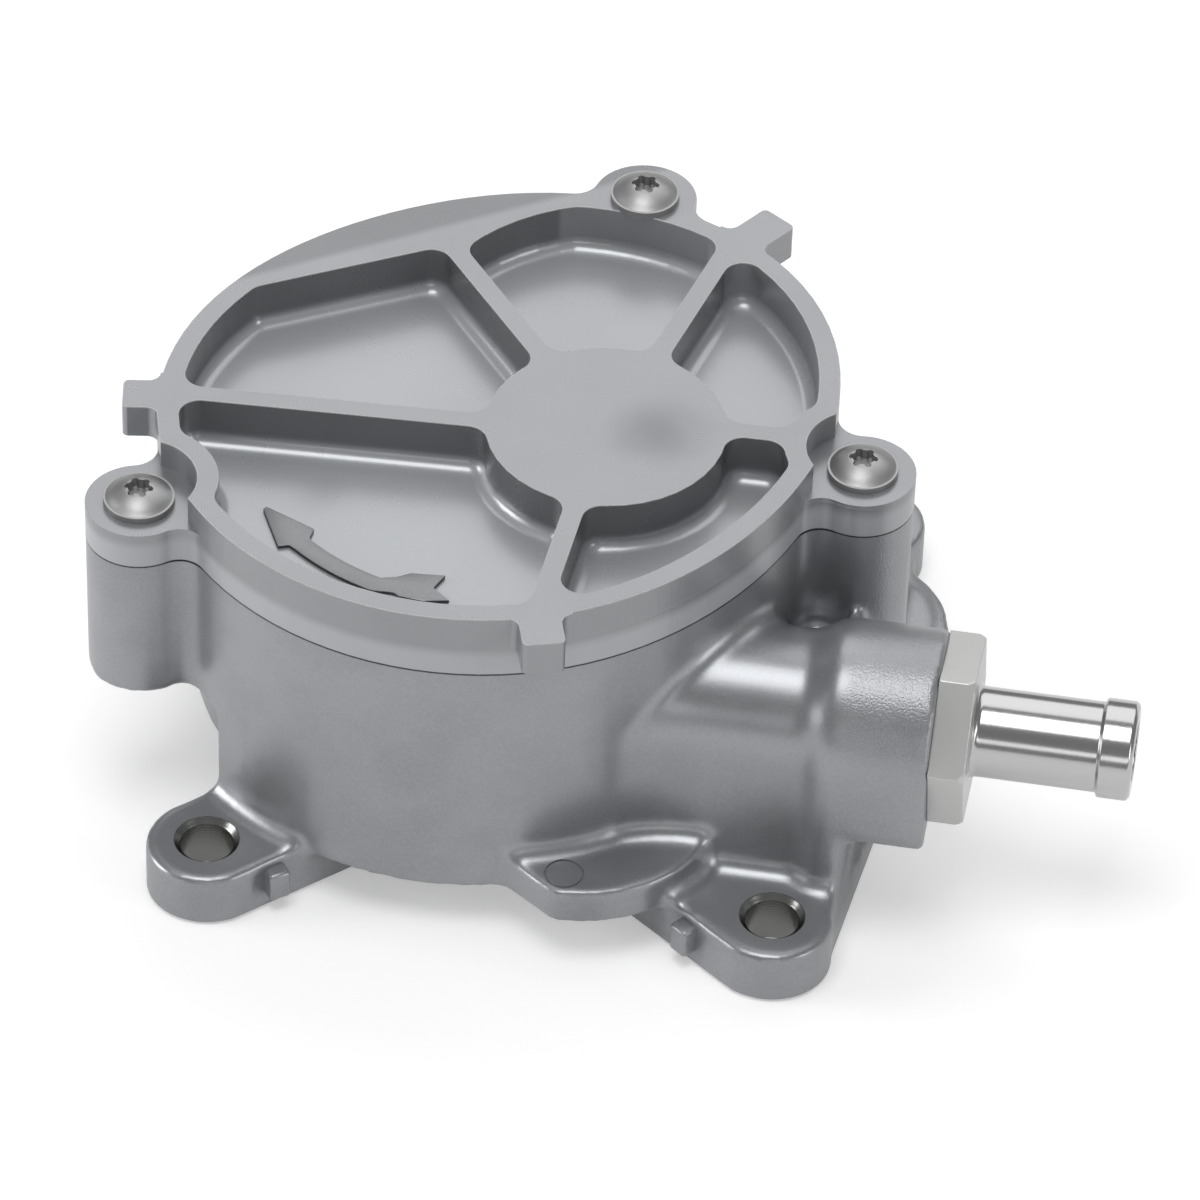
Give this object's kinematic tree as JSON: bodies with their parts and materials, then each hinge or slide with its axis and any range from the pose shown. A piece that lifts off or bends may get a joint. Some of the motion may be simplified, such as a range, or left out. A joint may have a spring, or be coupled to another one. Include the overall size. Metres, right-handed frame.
{
  "type": "engine vacuum pump",
  "caption": "Flange-mounted rotary vane vacuum pump: round ribbed cover, eccentric chamber with one sliding vane, tongue drive underneath, side hose nipple with a check valve.",
  "frame": {"origin": "on the rotor axis, in the plane of the mounting face", "axes": "+Z along the rotor axis towards the cover, +X along the hose nipple towards its open end"},
  "size_m": [0.1396, 0.1032, 0.0564],
  "materials": {
    "casting": "bead-blasted satin",
    "nipple": "turned and polished",
    "screw": "satin zinc",
    "steel": "ground",
    "dark_steel": "oiled, dark",
    "rotor": "sintered and ground",
    "bush": "plain bronze",
    "vane": "matt",
    "plastic": "matt",
    "seal": "matt"
  },
  "bodies": {
    "pump": {"housing": "casting", "cover": "casting", "cover_seal": "seal", "cover_screws": "screw", "shaft_bush": "bush", "reed_stop": "steel", "reed_screw": "dark_steel", "hose_nipple": "nipple", "nipple_seal": "seal", "valve_cage": "plastic", "valve_spring": "steel", "flange_gasket": "seal"},
    "rotor": {"rotor": "rotor", "coupling_ring": "steel", "oil_tube": "steel", "oil_seal": "seal"},
    "coupling": {"drive_coupling": "dark_steel"},
    "vane_carrier": {"vane_pin": "steel"},
    "vane": {"vane": "vane"},
    "reed": {"outlet_reed": "steel"},
    "check_valve": {"valve_disc": "plastic"}
  },
  "joints": [
    {"name": "rotor_spin", "type": "hinge", "parent": "pump", "child": "rotor", "pos_m": [0, 0, 0], "axis": [0, 0, 1], "continuous": true},
    {"name": "coupling_float", "type": "slide", "parent": "rotor", "child": "coupling", "axis": [1, 0, 0], "range_m": [-0.0005, 0.0005]},
    {"name": "vane_orbit", "type": "hinge", "parent": "pump", "child": "vane_carrier", "pos_m": [-0.0037, 0, 0], "axis": [0, 0, 1], "continuous": true},
    {"name": "vane_turn", "type": "hinge", "parent": "vane_carrier", "child": "vane", "pos_m": [0, 0, 0], "axis": [0, 0, 1], "continuous": true},
    {"name": "reed_flex", "type": "hinge", "parent": "pump", "child": "reed", "pos_m": [-0.0055, 0.0165, 0.0061], "axis": [-1, 0, 0], "range_deg": [0, 6], "stiffness_Nm_per_rad": 0.02, "springref_deg": -5.73},
    {"name": "valve_slide", "type": "slide", "parent": "pump", "child": "check_valve", "axis": [-1, 0, 0], "range_m": [0, 0.0025], "stiffness_N_per_m": 60, "springref_m": -0.004, "deforming": ["valve_spring"]}
  ],
  "couplings": [
    {"joint": "vane_orbit", "follows": "rotor_spin", "ratio": 2},
    {"joint": "vane_turn", "follows": "rotor_spin", "ratio": -1}
  ]
}
